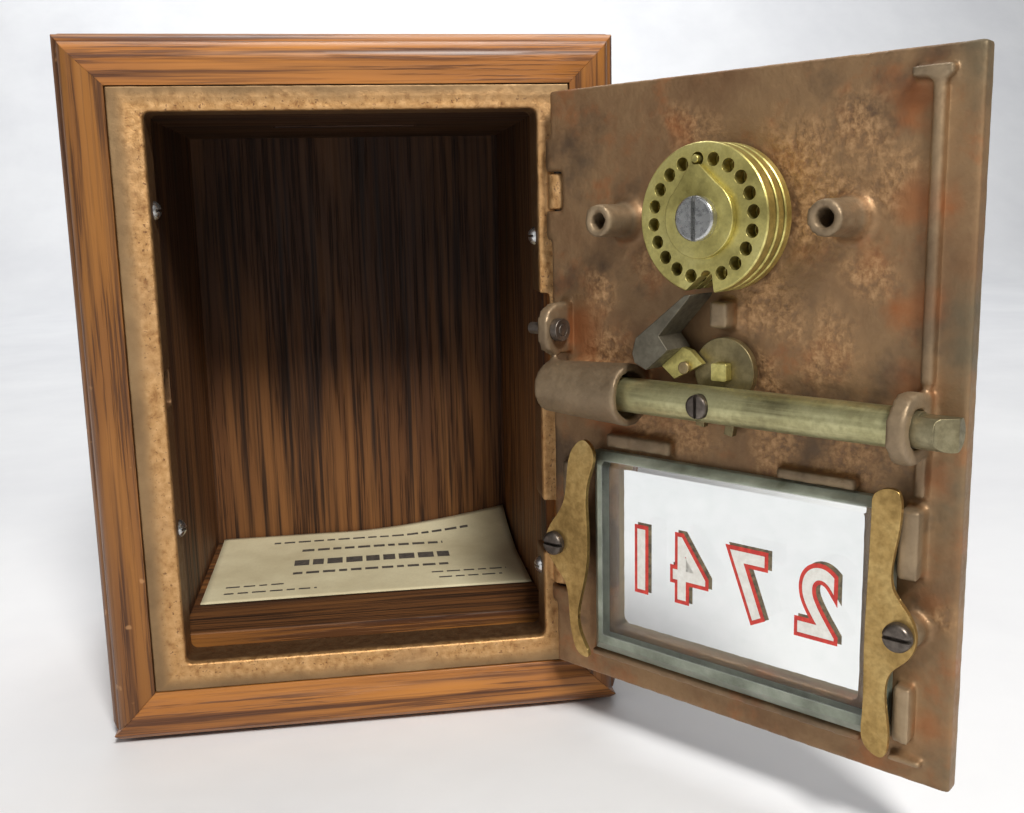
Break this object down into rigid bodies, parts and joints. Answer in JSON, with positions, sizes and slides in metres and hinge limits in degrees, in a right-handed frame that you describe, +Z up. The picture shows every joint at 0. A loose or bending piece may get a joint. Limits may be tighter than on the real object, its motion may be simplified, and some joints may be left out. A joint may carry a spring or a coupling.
{
  "type": "combination lock coin bank",
  "caption": "Oak coin bank with a mitred moulding, a coin slot and a hinged cast bronze door carrying a combination wheel lock, a sliding bolt and a glazed window.",
  "frame": {"origin": "on the flat underside of the case, 45 mm behind the bronze frame's front face, midway between the sides", "axes": "+X to the case's right as seen from the front, +Y into the case, +Z up"},
  "size_m": [0.1545, 0.168, 0.1481],
  "materials": {
    "oak": "oiled oak with dark grain",
    "oak_moulding": "semi-gloss stained oak with dark grain",
    "cast_bronze": "cast bronze with mottled brown and copper patina",
    "frame_bronze": "grainy copper-coloured casting with a smooth olive border",
    "wheel_brass": "aged yellow-green brass",
    "clip_brass": "aged yellow sheet brass",
    "olive_bronze": "drawn rod with olive-grey patina",
    "worn_bronze": "worn yellow-grey bronze",
    "grey_metal": "matte grey-beige machined metal",
    "steel_dark": "aged dark steel",
    "steel_bright": "bright zinc-plated steel",
    "glass": "clear bevelled plate glass",
    "transfer": "red-edged number transfers",
    "paper": "aged cream card stock"
  },
  "bodies": {
    "case": {"case_side_left": "oak", "case_side_right": "oak", "case_top": "oak", "case_bottom": "oak", "case_back": "oak", "moulding_top": "oak_moulding", "moulding_bottom": "oak_moulding", "moulding_left": "oak_moulding", "moulding_right": "oak_moulding", "door_frame": "frame_bronze", "frame_screws": "steel_bright", "back_screws": "steel_bright", "hinge_pins": "steel_dark", "paper_card": "paper"},
    "door": {"door_casting": "cast_bronze", "window_glass": "glass", "number_transfer": "transfer", "window_clip_hinge_side": "clip_brass", "window_clip_latch_side": "clip_brass", "clip_screws": "steel_dark", "guard_screw": "steel_dark", "guard_nut": "steel_dark", "wheel_bush": "wheel_brass", "wheel_spacers": "wheel_brass", "bolt_spring": "steel_dark"},
    "dial": {"dial_knob": "worn_bronze", "dial_spindle": "olive_bronze", "drive_wheel": "wheel_brass", "wheel_hub": "wheel_brass", "hub_screw": "steel_bright", "change_pin": "wheel_brass"},
    "tumbler_middle": {"tumbler_wheel_middle": "wheel_brass"},
    "tumbler_inner": {"tumbler_wheel_inner": "wheel_brass"},
    "latch": {"latch_knob": "worn_bronze", "latch_spindle": "wheel_brass", "latch_cam": "wheel_brass"},
    "fence": {"fence_bar": "grey_metal", "fence_link": "wheel_brass", "fence_rivet": "worn_bronze"},
    "bolt": {"bolt_shaft": "olive_bronze", "bolt_tip": "worn_bronze", "bolt_drive_screw": "steel_dark"}
  },
  "joints": [
    {"name": "door_hinge", "type": "hinge", "parent": "case", "child": "door", "pos_m": [0.04328, -0.04822, 0.075], "axis": [0, 0, 1], "range_deg": [-128.5, 15]},
    {"name": "dial_turn", "type": "hinge", "parent": "door", "child": "dial", "pos_m": [0.06744, -0.08328, 0.1092], "axis": [-0.7826, -0.6225, 0], "range_deg": [0, 990]},
    {"name": "middle_wheel_turn", "type": "hinge", "parent": "door", "child": "tumbler_middle", "pos_m": [0.06744, -0.08328, 0.1092], "axis": [-0.7826, -0.6225, 0], "range_deg": [0, 990]},
    {"name": "inner_wheel_turn", "type": "hinge", "parent": "door", "child": "tumbler_inner", "pos_m": [0.06744, -0.08328, 0.1092], "axis": [-0.7826, -0.6225, 0], "range_deg": [0, 990]},
    {"name": "latch_knob_turn", "type": "hinge", "parent": "door", "child": "latch", "pos_m": [0.06778, -0.08371, 0.0817], "axis": [-0.7826, -0.6225, 0], "range_deg": [-45, 0], "stiffness_Nm_per_rad": 0.02, "springref_deg": 17.19},
    {"name": "bolt_slide", "type": "slide", "parent": "door", "child": "bolt", "axis": [0.6225, -0.7826, 0], "range_m": [-0.0071, 0], "deforming": ["bolt_spring"]},
    {"name": "fence_slide", "type": "slide", "parent": "door", "child": "fence", "axis": [0.4918, -0.6183, 0.613], "range_m": [0, 0.0036]}
  ],
  "couplings": [
    {"joint": "bolt_slide", "follows": "latch_knob_turn", "m_per_rad": 0.0089126},
    {"joint": "fence_slide", "follows": "latch_knob_turn", "m_per_rad": -0.0045836}
  ]
}
